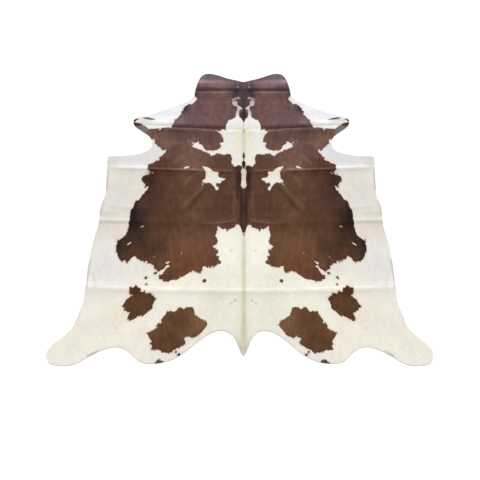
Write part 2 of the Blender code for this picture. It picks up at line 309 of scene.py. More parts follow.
PALE_TONES = [Tone(*row) for row in (
    (54, 181, 24, 12, (243, 244, 247), 1),  # shank
    (56, 172, 10, 3, (250, 251, 254), 0.8),
    (48.5, 182.4, 5, 3, (251, 251, 253), 0.8),
    (68, 170, 5, 2.2, (218, 212, 210), 0.6),
    (60, 165.3, 14, 3.2, (234, 233, 230), 0.8),
    (57, 168.6, 5.5, 1.9, (251, 253, 254), 0.8),
    (62, 140, 26, 8, (229, 228, 228), 0.9),  # brisket
    (74, 132, 24, 3, (225, 220, 218), 0.7),
    (76, 134.5, 7, 2.5, (236, 232, 229), 0.6),
    (72, 129.2, 20, 1.6, (229, 228, 233), 0.7),
    # painted highlight: the bright band just above the chest crease
    (67, 126.5, 15, 1.3, (246, 247, 250), 0.9),
    (85, 131, 5, 4, (220, 214, 207), 0.8),
    (77, 122.6, 10, 2, (228, 216, 204), 0.6),
    (76, 108, 14, 15, (227, 223, 214), 0.9),  # side
    (84.5, 117.5, 4.5, 6, (238, 233, 229), 0.8),
    # painted shade along the loin crease: a grey band at about 88 up, and in the next row the dark line at
    # 83 up
    (80, 88, 14, 4, (220, 215, 204), 0.7),
    (78, 83, 14, 1.4, (212, 206, 182), 0.5),
    (76, 77, 14, 6, (227, 219, 206), 0.8),
    (76, 55, 14, 12, (229, 228, 225), 0.8),  # thigh
    (72, 30, 22, 12, (240, 233, 223), 0.85),
    (82.6, 43.6, 2.6, 3, (245, 243, 238), 0.6),
    (54, 21, 7, 5, (236, 229, 207), 0.7),
    (62, 25, 7, 5, (236, 226, 204), 0.75),
    (58, 17.6, 4, 3, (247, 241, 228), 0.7),
    (86, 8, 16, 10, (240, 235, 225), 0.85),  # hind foot
    (60, 9, 16, 7, (243, 237, 221), 0.7),
    (28, 42, 34, 22, (240, 237, 223), 0.9),  # rump
    (14, 32, 9, 18, (231, 227, 208), 0.7),
    (52, 54, 6, 4, (226, 221, 212), 0.5),
    (7, 66, 9, 14, (248, 246, 231), 0.8),
    (7, 169, 9, 6, (240, 242, 243), 0.85),  # star
    (10, 150, 10, 14, (237, 236, 230), 0.85),
    (13, 137, 14, 6, (241, 239, 227), 0.8),
    (28, 144, 8, 5, (244, 237, 237), 0.8),
    (18, 117, 12, 9, (237, 234, 222), 0.9),  # island
    (0, 115, 3, 9, (226, 214, 198), 0.9),
    (0, 123.5, 2.4, 2.2, (214, 199, 196), 0.7),
    (5, 186, 5, 4, (212, 196, 205), 0.95),  # curls
    (6.3, 188, 2.5, 2.5, (184, 170, 184), 0.8),
    (5.5, 193, 3.4, 2.2, (150, 137, 148), 1),
    (0, 60, 3.6, 22, (240, 238, 220), 0.85),  # spine
    (0, 24, 4, 18, (228, 224, 204), 0.9),
    (0.3, 19, 0.8, 7, (196, 190, 166), 0.7),
    (0, 7, 6, 6, (206, 201, 180), 0.9),
    (0.4, 149, 1, 10, (206, 201, 182), 0.85),
    (0, 159.2, 0.6, 1.7, (96, 86, 74), 0.9),
    (0, 165, 0.5, 3, (202, 200, 192), 0.8),
    (0, 168.2, 0.6, 1.6, (180, 176, 168), 0.8),
    (4, 179.4, 2, 3.6, (194, 180, 188), 0.85),
    (3.2, 152, 2.6, 14, (238, 229, 204), 0.75),
    (0, 38, 1.1, 42, (205, 200, 174), 0.75),
    (58.4, 80.1, 3, 2, (178, 162, 154), 1),  # flecks
    (64.4, 68.4, 3, 2, (228, 218, 212), 1),
    (49.1, 59.8, 2, 2, (146, 120, 100), 1),
    (34.3, 62.3, 2, 2, (144, 112, 90), 1),
    (6.5, 32.1, 0.6, 0.6, (176, 172, 160), 0.7),
    (4.3, 33.6, 0.6, 0.6, (170, 166, 156), 0.7),
    (6.6, 63.8, 0.6, 0.6, (188, 184, 172), 0.7),
    (63.4, 18.6, 0.6, 0.6, (206, 200, 192), 0.6),
    (2.5, 162, 0.5, 0.5, (170, 160, 146), 0.7),
    (41.8, 56.1, 2, 2, (240, 224, 204), 0.9),
    (36.6, 126.1, 4, 2.5, (248, 232, 224), 0.95),
    (57.8, 121, 3, 2, (176, 150, 138), 0.9),
    (25.4, 111.8, 1.6, 2, (170, 140, 118), 0.9),
)]

# Painted light on the hair, in centimetres: painted highlights and painted shade along the creases, folds
# and wrinkles, painted sheen along the brushed hair, and painted shade along the cut edge. Each has its half
# width, how much lighter the hair is there, and the places along it.
DARK_PAINTED_LIGHT = (
    # the neck, and its crease: painted highlights and painted shade on its folds, and painted sheen
    (0.9, -0.16, (30, 216.4), (20, 215.6), (8, 214.9)),
    (1.7, 0.46, (38, 213.4), (27, 212.7), (20, 212.1)),
    (1.6, 0.3, (24, 212.3), (15, 211.9), (6, 211.5)),
    (0.5, -0.14, (36, 210.3), (28, 210.2)),
    (1.5, -0.3, (36, 206.4), (30, 206.6), (24, 205.8)),
    (1.3, -0.1, (30, 208.2), (5, 207.6)),
    (1.6, -0.56, (38, 204.4), (5, 204.3)),
    (0.8, -0.54, (38, 202.7), (24, 202.5), (5, 202.5)),
    (0.7, 0.34, (39, 200.6), (31, 200.4), (23, 200.1), (4, 200.5)),
    (0.7, 0.36, (24, 199.9), (18, 199.6), (12, 199.9)),
    (1.5, -0.17, (28.6, 199), (27.4, 195.5), (27.8, 192)),
    (0.9, 0.14, (30.8, 192.5), (30, 185.5)),
    (0.6, 0.34, (27, 188.6), (20, 188.8), (9, 189.3)),
    (1.2, -0.25, (41.6, 185), (40.6, 181), (39, 179.5)),
    (1.3, 0.16, (46.6, 179), (45.6, 173)),
    (1.6, 0.1, (12, 183), (10, 177)),
    (1.6, 0.12, (38, 186), (33, 183)),
    # the shoulder crease: painted highlights and painted shade along it
    (1.5, -0.34, (50, 164.8), (35, 164.2), (22, 163.8), (10, 163.4)),
    (2.2, 0.2, (50, 167.4), (38, 167.2)),
    (2.4, 0.14, (50, 167.2), (12, 167)),
    (0.5, -0.3, (54, 163.6), (46, 163.4), (40, 163.4)),
    (0.6, -0.4, (50, 163.8), (36, 162.9), (24, 162.4), (12, 162)),
    (0.5, 0.75, (62, 162.2), (50, 162.4), (42, 161.9), (34, 161.5), (26, 160.8), (14, 160)),
    (1.2, -0.12, (50, 158.4), (36, 158)),
    (0.8, 0.3, (30, 160.4), (20, 159.9), (14, 159.8)),
    (1.4, -0.12, (48, 158.4), (26, 158)),
    (0.7, 0.36, (50, 146.8), (45, 147.6), (40, 148.8), (35.5, 150.8), (29, 153.2)),
    # the chest crease: painted highlights and painted shade along it
    (0.45, 1.25, (64, 125.9), (52, 125.3), (44, 124.5), (36, 124.4), (24, 124.2)),
    (0.4, 0.9, (22, 124.2), (15, 123.8), (7, 123.7)),
    (0.6, -0.44, (64, 124.2), (52, 123.4), (44, 122.6), (34, 122.5), (24, 121.8)),
    (1.8, -0.14, (58, 121.4), (44, 120.6), (28, 120.4)),
    (0.9, -0.32, (20, 122), (12, 121.5), (4.6, 121.6)),
    # brushed on the side and the loin: painted sheen, lighter and darker along the lie of the hair
    (1, 0.26, (39, 139), (42, 133), (46, 128)),
    (1.5, 0.12, (34.6, 141), (34, 134)),
    (1.3, 0.28, (33, 119.5), (35, 114.5), (37.4, 108)),
    (1.3, 0.16, (49, 118.5), (45.5, 113.5), (43, 107.5)),
    (1.7, 0.36, (23.6, 113.5), (28, 106), (33, 98.5), (38, 91)),
    (1.5, -0.3, (19.5, 112), (25.5, 105), (30, 97.5), (34.4, 90)),
    (1.4, 0.14, (46.6, 103), (45.6, 92)),
    (1, 0.12, (38.6, 103), (37.6, 99)),
    (1.1, 0.42, (5.9, 109), (5.4, 98), (5.9, 87)),
    (0.4, 0.16, (10, 105.6), (2.6, 105.9)),
    # the loin crease: painted highlights and painted shade along it
    (0.7, 0.3, (88, 85.8), (66, 85.5)),
    (1.6, 0.14, (60, 86.8), (50, 85.4)),
    (0.6, 0.16, (56, 83.4), (40, 82.7), (22, 82.5)),
    (0.45, 0.7, (26, 82.7), (16, 82.8), (9, 83.6), (3, 85.6)),
    (0.5, -0.12, (22, 86.2), (12, 86.2)),
    (0.9, -0.16, (26, 81), (8, 81.6)),
)
PALE_PAINTED_LIGHT = (
    # the hind crease: painted highlights and painted shade along it
    (0.9, 0.14, (88, 41.6), (50, 40.6), (30, 40)),
    (0.9, 0.11, (34, 40.1), (10, 39.7), (-10, 39.7)),
    (0.5, 0.06, (70, 40.5), (40, 39.7), (18, 39.3)),
    (0.5, 0.07, (88, 43.8), (72, 43.2)),
    (0.6, -0.06, (88, 39), (50, 38.1), (20, 37.7), (-10, 37.6)),
    # the shoulder crease: painted highlights and painted shade along it
    (1.2, 0.1, (72, 169.6), (47, 169.4)),
    (1.1, -0.07, (72, 166.2), (45, 165.6)),
    (0.8, 0.26, (72, 164.2), (58, 163.6), (47, 163)),
    (0.9, 0.13, (15, 159.6), (8, 159.8), (3, 159.9)),
    (0.8, 0.09, (14, 162.2), (1, 162)),
    (1.5, -0.07, (4, 170), (3.4, 164)),
    # the chest crease: painted highlights and painted shade along it
    (0.9, 0.04, (88, 128), (60, 126.6)),
    (0.7, -0.13, (84, 124.9), (72, 124.3), (58, 123.8)),
    # the loin crease: painted highlights and painted shade along it
    (0.7, 0.08, (88, 85.8), (66, 85.5)),
    (0.8, -0.16, (88, 83.1), (66, 83.1)),
    # wrinkles in the pale hair: painted shade along them
    (1.2, -0.08, (88, 88.7), (72, 89.9)),
    (1.2, -0.11, (82, 95), (76, 93.9), (72, 93.2), (63, 92.6)),
    (0.6, -0.04, (74, 106.2), (62, 104.6)),
    (0.5, -0.1, (81.4, 51), (79.6, 46), (77.4, 39.5)),
    (0.5, -0.05, (30, 49.6), (22, 49.7)),
    # painted shade along the cut edge, and a darker line on the shank
    (0.45, -0.34, (86, 125), (85.4, 120), (84.3, 112), (83.6, 106)),
    (0.45, -0.22, (84.2, 100), (84.1, 96), (84.3, 90), (83.9, 87)),
    (0.4, -0.3, (84, 60), (83.6, 52), (82.9, 44), (82.4, 39)),
    (0.4, -0.16, (83, 31), (83.3, 24), (87, 14.6)),
    (0.35, -0.45, (75.4, 4.2), (70, 7.4)),
    (0.6, -0.12, (54, 180.4), (60, 177.4), (66, 174.6)),
)

# Which way the hair lies, in centimetres. "outwards" and "upwards" are the way's two parts at (out, up).
Lie = namedtuple("Lie", "out up reach_out reach_up outwards upwards")
LIES = [Lie(*row) for row in (
    (0, 110, 24, 120, 0.1, -1),
    (45, 110, 26, 60, 0.42, -1),
    (80, 95, 18, 40, 0.3, -1),
    (16, 208, 30, 12, 0.12, -1),
    (50, 176, 20, 14, 0.85, -0.42),
    (70, 168, 14, 10, 1, 0.1),
    (68, 150, 16, 14, 0.95, -0.55),
    (80, 25, 20, 20, 0.5, -1),
    (90, 6, 12, 12, 0.9, -0.6),
    (35, 15, 24, 18, 0.25, -1),
)]


# ---- places on the skin

def outward(across):
    """The distance from the spine in the left side's measure, on either side."""
    return np.where(across < 0, -across, across / RIGHT_SHARE)


def smoothly(share):
    share = np.clip(share, 0.0, 1.0)
    return share * share * (3 - 2 * share)


class Drift:
    """A value from -1 to 1 that wanders over the skin, with patches of about the two given sizes."""

    KNOTS = 256  # each way, after which a drift begins again
    MIDDLE = 128  # the knot at the spine
    LOWEST = 16  # the knot where "up" is zero

    def __init__(self, seed, across_size, up_size):
        self.across_size, self.up_size = across_size, up_size
        self.knots = np.random.default_rng(seed).uniform(-1, 1, (self.KNOTS + 1, self.KNOTS + 1))

    def __call__(self, across, up):
        column, row = across / self.across_size + self.MIDDLE, up / self.up_size + self.LOWEST
        left, below = np.floor(column).astype(int), np.floor(row).astype(int)
        s, t = smoothly(column - left), smoothly(row - below)
        left, below = left % self.KNOTS, below % self.KNOTS
        near = self.knots[below, left] * (1 - s) + self.knots[below, left + 1] * s
        far = self.knots[below + 1, left] * (1 - s) + self.knots[below + 1, left + 1] * s
        return near * (1 - t) + far * t


def nearest_on_line(out, up, start, end):
    """Where a straight line is nearest, as a share of its length, and the squared distance to there."""
    dx, dy = end - start
    px, py = out - start[0], up - start[1]
    share = np.clip((px * dx + py * dy) / (dx * dx + dy * dy), 0, 1)
    return share, (px - dx * share) ** 2 + (py - dy * share) ** 2


def depth_inside(out, up, border):
    """The distance to a closed border, in metres: positive inside it, and negative outside."""
    nearest = np.full(out.shape, np.inf)
    inside = np.zeros(out.shape, bool)
    for start, end in zip(border, np.roll(border, -1, axis=0)):
        nearest = np.minimum(nearest, nearest_on_line(out, up, start, end)[1])
        (ax, ay), (bx, by) = start, end
        if ay != by:
            inside ^= ((ay > up) != (by > up)) & (out - ax < (bx - ax) * (up - ay) / (by - ay))
    return np.where(inside, 1, -1) * np.sqrt(nearest)


def leftward(way):
    """The directions a quarter turn to the left of the given ones."""
    return np.stack((-way[:, 1], way[:, 0]), axis=1)


def crease_lift(crease, across, up):
    share = np.abs(up - crease.up - crease.rise * outward(across)) / crease.spread
    uneven = 1.0 + UNEVENNESS * np.sin(2 * math.pi * (across / UNEVEN_WAVELENGTH + crease.up))
    slope = np.clip(1.0 - share, 0, 1) ** 2
    if crease.form == "trough":
        slope = slope * TROUGH_GAIN * share
    return crease.height * uneven * slope


WAVES = Drift(3, 0.21, 0.17)
RIPPLES = Drift(4, 0.055, 0.045)
WAVE_HEIGHT = 0.0011
RIPPLE_HEIGHT = 0.0003


def lift(across, up):
    """How high the underside stands off the floor."""
    folds = sum(crease_lift(crease, across, up) for crease in CREASES)
    waves = WAVE_HEIGHT * (1 + WAVES(across, up)) / 2
    return folds + waves + RIPPLE_HEIGHT * (1 + RIPPLES(across, up)) / 2


# ---- the hair's colours and lie

EYE_HEIGHT = 1.97  # where the tables' places were read from, over the floor
EYE_DISTANCE = 0.57  # and how far beyond the hind feet
SIDEWAYS = -0.0073  # share of the picture's width from its middle to the spine
RIGHT_SHIFT = 0.0020  # how much further out the right side's markings stand
SPINE_WIDTH = 0.04  # over which that comes in
HAIR_TOP = 0.0030  # over the floor, where the skin lies flat


def table_place(across, up):
    """A place in the tables' measure, which was read from EYE_HEIGHT as if the skin had no height."""
    raised = (HAIR_TOP + lift(across, up)) / EYE_HEIGHT
    shifted = across - RIGHT_SHIFT * smoothly(across / SPINE_WIDTH + 1.0)
    return shifted * (1 + raised), up + (up + EYE_DISTANCE) * raised


DOWN_TEETH = Drift(11, 0.0085, 0.030)
OUT_TEETH = Drift(13, 0.016, 0.012)
FRAY = Drift(12, 0.013, 0.014)
TOOTH_LENGTH = 0.0052
SIDE_TOOTH_LENGTH = 0.0034
FRAY_LENGTH = 0.0036
ELSEWHERE = 0.7  # a step to a part of a drift that has nothing to do with this one
SHARPNESS = 2.5


def pointed(teeth):
    """Sharp ridges where a drift changes its sign, with wide hollows between them."""
    return 1.0 - SHARPNESS * np.abs(teeth)


def darkness_depth(across, up):
    """How deep inside the dark hair a place lies, in metres: negative in the pale hair."""
    across, up = table_place(across, up)
    out = outward(across)
    frayed_up = TOOTH_LENGTH * pointed(DOWN_TEETH(out, up)) + FRAY_LENGTH * FRAY(out, up)
    frayed_out = FRAY_LENGTH * FRAY(out + ELSEWHERE, up) - SIDE_TOOTH_LENGTH * pointed(OUT_TEETH(out, up))
    depth = np.full(out.shape, -1.0)
    for marking in MARKINGS:
        border = np.array(marking.border) * CM
        hung_up = up + marking.hung * CM
        inner = depth_inside(out + marking.fray * frayed_out, hung_up + marking.fray * frayed_up, border)
        inner += marking.grown * CM
        depth = np.maximum(depth, inner) if marking.hair == "dark" else np.minimum(depth, -inner)
    for fleck in FLECKS:
        turn = math.radians(fleck.lean)
        dx, dy = out - fleck.out * CM, up - fleck.up * CM
        along = (dy * math.sin(turn) - dx * math.cos(turn)) / (fleck.wide * CM / 2)
        over = (dy * math.cos(turn) + dx * math.sin(turn)) / (fleck.high * CM / 2)
        inner = (1 - np.hypot(along, over)) * min(fleck.wide, fleck.high) * CM / 2
        depth = np.maximum(depth, inner) if fleck.hair == "dark" else np.minimum(depth, -inner)
    return depth


def linear(colour):
    """Linear light from a colour as it is seen, 0 to 255."""
    shown = np.array(colour) / 255
    return np.where(shown <= 0.04045, shown / 12.92, ((shown + 0.055) / 1.055) ** 2.4)


def in_reaches(out, up, row):
    """How far a place is from the middle of a table's row, sideways and lengthways, in the row's reaches."""
    return (out - row.out * CM) / (row.reach_out * CM), (up - row.up * CM) / (row.reach_up * CM)


TONE_FADE = 0.8


def toned(out, up, base, tones):
    colour = np.tile(linear(base), (len(out), 1))
    for tone in tones:
        dx, dy = in_reaches(out, up, tone)
        share = (tone.share * np.exp(-TONE_FADE * (dx**4 + dy**4) ** 0.75))[:, None]
        colour = colour * (1 - share) + linear(tone.colour) * share
    return colour


# The brushed drifts paint the hair's sheen: random lighter and darker stripes that lean with its lie. The
# round ones are its own uneven tone.
BRUSHED_SHEEN_DRIFTS = (Drift(21, 0.012, 0.11), Drift(22, 0.006, 0.030))  # brushed, and finely brushed
ROUND_DRIFTS = (Drift(23, 0.075, 0.10), Drift(25, 0.028, 0.034), Drift(27, 0.010, 0.012))
BRUSH_LEAN = 0.25  # how far brushed hair leans sideways
WARMTH = Drift(26, 0.06, 0.05)
WARMER = np.array((1.0, 0.0, -1.0))
SHINE = 0.013  # the light that the hair's gloss adds to its colour here
DARKEST = 0.002
LIGHT_LEVEL = 1.15  # how much brighter than its own colour a white thing shows here
WOBBLE = Drift(24, 0.06, 0.05)
WOBBLE_LENGTH = 0.003
STREAK_END = 6  # a streak fades in over one part in so many of its length, and out over another

# "shares" is how much each drift changes the hair's tone, in the order of their tables; the two brushed ones
# paint its sheen, and the round ones give its own uneven tone.
Hair = namedtuple("Hair", "base tones streaks shares warmth")
HAIRS = (
    Hair(DARK_HAIR, DARK_TONES, DARK_PAINTED_LIGHT, (0.08, 0.12, 0.10, 0.11, 0), 0.06),
    Hair(PALE_HAIR, PALE_TONES, PALE_PAINTED_LIGHT, (0.010, 0, 0.018, 0.024, 0.028), 0.015),
)


def painted_light_gain(out, up, streaks):
    """How much lighter than its tone the hair is, by the painted highlights, painted shade and painted sheen
    of each streak: on a streak, fading sideways and at its ends.
    """
    lighter = np.ones(out.shape)
    for width, gain, *places in streaks:
        path = np.array(places) * CM
        nearest, passed = np.full(out.shape, np.inf), np.zeros(out.shape)
        for number, (start, end) in enumerate(zip(path, path[1:])):
            share, gap = nearest_on_line(out, up, start, end)
            closer = gap < nearest
            nearest = np.where(closer, gap, nearest)
            passed = np.where(closer, (number + share) / (len(path) - 1), passed)
        ends = smoothly(STREAK_END * passed) * smoothly(STREAK_END * (1 - passed))
        lighter *= 1 + gain * ends * np.exp(-nearest / (width * CM) ** 2)
    return lighter


def hair_colours(across, up):
    """The dark hair's colour and the pale hair's colour at each place, with the painted sheen, highlights
    and shade of the tables in it, but without what its gloss adds.
    """
    across, up = table_place(across, up)
    out = outward(across)
    drifts = [drift(out - BRUSH_LEAN * up, up) for drift in BRUSHED_SHEEN_DRIFTS]
    drifts += [drift(out, up) for drift in ROUND_DRIFTS]
    warmer = WARMTH(out, up)[:, None] * WARMER
    wobbled = up + WOBBLE_LENGTH * WOBBLE(out, up)
    colours = []
    for hair in HAIRS:
        drift = sum(share * value for share, value in zip(hair.shares, drifts))
        lighter = painted_light_gain(out, wobbled, hair.streaks) * (1 + drift)
        colour = toned(out, up, hair.base, hair.tones) * lighter[:, None] * (1 + hair.warmth * warmer)
        colours.append(np.maximum(colour - SHINE, DARKEST) / LIGHT_LEVEL)
    return colours


SWIRL = Drift(31, 0.09, 0.12)
TUFTS = Drift(32, 0.018, 0.025)
SWIRL_TURN = 0.10
TUFT_TURN = 0.08
PARTING = 0.05  # from the spine to where the hair lies fully outwards
LEAST_WAY = (1e-6, -1e-5)  # outwards and upwards, where nothing else is near


def hair_way(across, up):
    """The direction in which the hair's tips point at each place."""
    out = outward(across)
    outwards, upwards = (np.full(out.shape, least) for least in LEAST_WAY)
    for lie in LIES:
        dx, dy = in_reaches(out, up, lie)
        share = np.exp(-(dx * dx + dy * dy))
        outwards += share * lie.outwards
        upwards += share * lie.upwards
    outwards *= smoothly(out / PARTING)
    angle = np.arctan2(upwards, outwards * np.sign(across))
    angle += SWIRL_TURN * SWIRL(across, up) + TUFT_TURN * TUFTS(across, up)
    return np.stack((np.cos(angle), np.sin(angle)), axis=1)


# ---- the edge

EDGE_STEP = 0.006
SHARP_TURN = math.radians(55)
LEVEL = 0.5  # tilt between an upright face and one that lies level
WELD = 5e-5  # between points that are the same one


def cut_edge():
    """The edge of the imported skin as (across, up) points, anticlockwise seen from above."""
    shell = bmesh.new()
    shell.from_mesh(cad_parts[NODE].data)
    bmesh.ops.remove_doubles(shell, verts=shell.verts, dist=WELD)
    links = {}
    for edge in shell.edges:
        tilts = sorted(face.normal.z for face in edge.link_faces)
        if len(tilts) == 2 and abs(tilts[0]) < LEVEL < tilts[1]:
            a, b = edge.verts
            links.setdefault(a, []).append(b)
            links.setdefault(b, []).append(a)
    start = min(links, key=lambda vert: vert.co.y)
    loop, here, last = [start], links[start][0], start
    while here is not start:
        loop.append(here)
        here, last = next(vert for vert in links[here] if vert is not last), here
    points = np.array([(vert.co.x - SPINE_X, vert.co.y - FOOT_Y) for vert in loop])
    shell.free()
    x, y = points.T
    area = np.sum(x * np.roll(y, -1) - np.roll(x, -1) * y) / 2
    return points if area > 0 else points[::-1]


def smooth_edge(points):
    """The same edge with curves between its points, at most EDGE_STEP apart. A sharp turn stays sharp."""
    after = np.roll(points, -1, axis=0)
    long = np.hypot(*(after - points).T)[:, None]
    onward = (after - points) / long
    back = np.roll(onward, 1, axis=0)
    way = (back + onward) / np.hypot(*(back + onward).T)[:, None]
    sharp = (back * onward).sum(axis=1, keepdims=True) < math.cos(SHARP_TURN)
    leave = np.where(sharp, onward, way) * long
    arrive = np.where(np.roll(sharp, -1, axis=0), onward, np.roll(way, -1, axis=0)) * long
    rounded = []
    for here, there, first, last, steps in zip(points, after, leave, arrive, np.ceil(long / EDGE_STEP)):
        t = np.arange(steps[0])[:, None] / steps
        rounded.append(
            here * (2 * t**3 - 3 * t**2 + 1) + first * (t**3 - 2 * t**2 + t)
            + there * (3 * t**2 - 2 * t**3) + last * (t**3 - t**2)
        )
    return np.concatenate(rounded)


CAD_EDGE = cut_edge()
EDGE = smooth_edge(CAD_EDGE)


def depth_in_skin(across, up):
    return depth_inside(across, up, CAD_EDGE)


# ---- meshes

def mesh_from(name, points, faces, attributes, colours):
    """A mesh from arrays of points and of triangles, with values and colours at its points."""
    mesh = bpy.data.meshes.new(name)
    mesh.vertices.add(len(points))
    mesh.vertices.foreach_set("co", np.asarray(points, np.float32).ravel())
    mesh.loops.add(faces.size)
    mesh.loops.foreach_set("vertex_index", np.asarray(faces, np.int32).ravel())
    mesh.polygons.add(len(faces))
    mesh.polygons.foreach_set("loop_start", np.arange(0, faces.size, 3, dtype=np.int32))
    mesh.update(calc_edges=True)
    for key, values in attributes.items():
        layer = mesh.attributes.new(key, "FLOAT", "POINT")
        layer.data.foreach_set("value", np.asarray(values, np.float32))
    for key, values in colours.items():
        layer = mesh.attributes.new(key, "FLOAT_COLOR", "POINT")
        shown = np.ones((len(points), 4), np.float32)
        shown[:, :3] = values
        layer.data.foreach_set("color", shown.ravel())
    return mesh


def add_map(mesh, corners):
    layer = mesh.uv_layers.new(name="OFBake")
    layer.data.foreach_set("uv", np.asarray(corners, np.float32).ravel())


def in_scene(name, data):
    """A new object of a mesh, a light or a camera, at the origin."""
    new = bpy.data.objects.new(name, data)
    bpy.context.scene.collection.objects.link(new)
    return new


def placed(across, up, height):
    return np.stack((across + SPINE_X, up + FOOT_Y, height), axis=1)


def scattered(steps, stray, clearance, seed):
    """Places in staggered rows inside the edge, each moved at random by up to the stray each way."""
    rng = np.random.default_rng(seed)
    grid = np.meshgrid(*(np.arange(*span) for span in zip(EDGE.min(0), EDGE.max(0), steps)))
    grid[0][1::2] += steps[0] / 2
    across, up = (part.ravel() + rng.uniform(-1, 1, part.size) * most for part, most in zip(grid, stray))
    return np.stack((across, up), axis=1)[depth_in_skin(across, up) > clearance]


STRAY = 0.1  # of the points, as a share of their spacing
RIM_CLEARANCE = 0.55  # of the points from the edge, as another


def filled(spacing, seed):
    """Points inside the edge, about the spacing apart, and the triangles over them and the edge."""
    steps = (spacing, spacing * math.sqrt(0.75))
    inner = scattered(steps, (STRAY * spacing, STRAY * spacing), RIM_CLEARANCE * spacing, seed)
    points = [Vector(point) for point in (*EDGE, *inner)]
    found, _, faces, *_ = delaunay_2d_cdt(points, [], [list(range(len(EDGE)))], 1, 1e-6)
    return np.array([tuple(point) for point in found]), np.array([list(face) for face in faces])


# ---- materials

class Socket:
    """One output of a node. Sums, differences and products with it add Math nodes."""

    def __init__(self, nodes, output):
        self.nodes = nodes
        self.output = output

    def _math(self, operation, first, second):
        return self.nodes.make("ShaderNodeMath", {0: first, 1: second}, operation=operation)

    def __add__(self, other):
        return self._math("ADD", self, other)

    def __sub__(self, other):
        return self._math("SUBTRACT", self, other)

    def __rsub__(self, other):
        return self._math("SUBTRACT", other, self)

    def __mul__(self, other):
        return self._math("MULTIPLY", self, other)

    __radd__ = __add__
    __rmul__ = __mul__


class Nodes:
    """The nodes of one new material."""

    def __init__(self, name):
        self.material = bpy.data.materials.new(name)
        self.material.use_nodes = True
        self.tree = self.material.node_tree
        self.shader = self.tree.nodes["Principled BSDF"]

    def make(self, kind, inputs=None, result=0, **settings):
        """A node of a type, with its settings set first and then its sockets' values or links."""
        node = self.tree.nodes.new(kind)
        for key, value in settings.items():
            setattr(node, key, value)
        self.fill(node, inputs or {})
        return Socket(self, node.outputs[result])

    def fill(self, node, inputs):
        for key, value in inputs.items():
            if isinstance(value, Socket):
                self.tree.links.new(value.output, node.inputs[key])
            else:
                node.inputs[key].default_value = value

    def attribute(self, name, result="Fac"):
        return self.make("ShaderNodeAttribute", result=result, attribute_name=name)

    def blend(self, share, first, second):
        """A colour from first, where share is 0, to second, where it is 1."""
        sockets = {0: share, 6: first, 7: second}
        return self.make("ShaderNodeMix", sockets, 2, data_type="RGBA", clamp_factor=True)

    def scaled(self, colour, factor):
        return self.make("ShaderNodeVectorMath", {0: colour, "Scale": factor}, operation="SCALE")

    def noise(self, vector, scale, detail=2.0, roughness=0.5):
        inputs = {"Vector": vector, "Scale": scale, "Detail": detail, "Roughness": roughness}
        return self.make("ShaderNodeTexNoise", inputs)

    def bump(self, height, distance):
        return self.make("ShaderNodeBump", {"Height": height, "Distance": distance, "Strength": 0.5})


STRANDS_ACROSS = 2.6  # steps of the noise from a lock's middle to its side
NEXT_LOCK = 7.3  # and from one lock's strands to another's
STRAND_STRETCH = 0.6
STRAND_SCALE = 3
ROOT_SHADE = 0.86
TIP_SHADE = 0.16  # how much lighter than its root a lock's tip is
STRAND_SHADE = 0.22
STRAND_ROUGHNESS = 0.16
STRAND_RELIEF = 0.00005
# How fine the fray, the pile, the nap and the blotches of the leather are, in parts to a metre.
FRAY_SCALE = 260
PILE_SCALE = 900
NAP_SCALE = 1400
BLOTCH_SCALE = 6
PILE_SHADE = 0.22
NAP_SHADE = 0.24
PILE_RELIEF = 0.0003
BORDER_FRAY = 0.002  # how far a marking's border frays on the bare leather
BORDER_BLUR = 0.0012


def coat_material(settings):
    """Short glossy cow hair. Each lock has its own tone, is darker at its root and shows its strands."""
    nodes = Nodes("cow hair")
    along = nodes.attribute("along")
    strand = nodes.attribute("side") * STRANDS_ACROSS + nodes.attribute("lock") * NEXT_LOCK
    place = nodes.make("ShaderNodeCombineXYZ", {0: strand, 1: along * STRAND_STRETCH})
    strands = nodes.noise(place, STRAND_SCALE, detail=3.0)
    shade = ROOT_SHADE + TIP_SHADE * along + STRAND_SHADE * (strands - 0.5)
    nodes.fill(nodes.shader, {
        "Base Color": nodes.scaled(nodes.attribute("coat", "Color"), shade),
        "Roughness": 0.50 + STRAND_ROUGHNESS * (strands - 0.5),
        "Normal": nodes.bump(strands, STRAND_RELIEF),
        "Specular IOR Level": settings.gloss,
    })
    return nodes.material


def skin_material(settings):
    """Leather with the same markings under its hair, and a suede underside."""
    nodes = Nodes("hide")
    place = nodes.make("ShaderNodeTexCoord", result="Object")
    fray = nodes.noise(place, FRAY_SCALE, detail=3.0)
    pile = nodes.noise(place, PILE_SCALE)
    nap = nodes.noise(place, NAP_SCALE)
    blotch = nodes.noise(place, BLOTCH_SCALE, detail=5.0, roughness=0.6)
    depth = nodes.attribute("depth") + BORDER_FRAY * (fray - 0.5)
    darkness = nodes.make(
        "ShaderNodeMapRange", {0: depth, 1: -BORDER_BLUR, 2: BORDER_BLUR}, interpolation_type="SMOOTHSTEP"
    )
    hair = nodes.blend(darkness, nodes.attribute("pale", "Color"), nodes.attribute("dark", "Color"))
    suede = nodes.blend(blotch, tuple(settings.suede_dark), tuple(settings.suede_light))
    suede = nodes.scaled(suede, 0.88 + NAP_SHADE * nap)
    under = nodes.attribute("underside")
    nodes.fill(nodes.shader, {
        "Base Color": nodes.blend(under, nodes.scaled(hair, 0.74 + PILE_SHADE * pile), suede),
        "Roughness": 0.62 + 0.26 * under,
        "Normal": nodes.bump(pile + under * nap, PILE_RELIEF),
        "Specular IOR Level": 0.25,
    })
    return nodes.material


# ---- settings

def length(name, description, default, low, high):
    return FloatProperty(
        name=name, description=description, default=default, min=low, max=high, unit="LENGTH"
    )


def angle(name, description, default):
    return FloatProperty(
        name=name, description=description, default=math.radians(default), subtype="ANGLE"
    )


def strength(name, description, default):
    return FloatProperty(name=name, description=description, default=default, min=0.0)


def colour(name, description, *default):
    return FloatVectorProperty(
        name=name, description=description, default=(*default, 1.0), min=0.0, max=1.0, size=4,
        subtype="COLOR",
    )


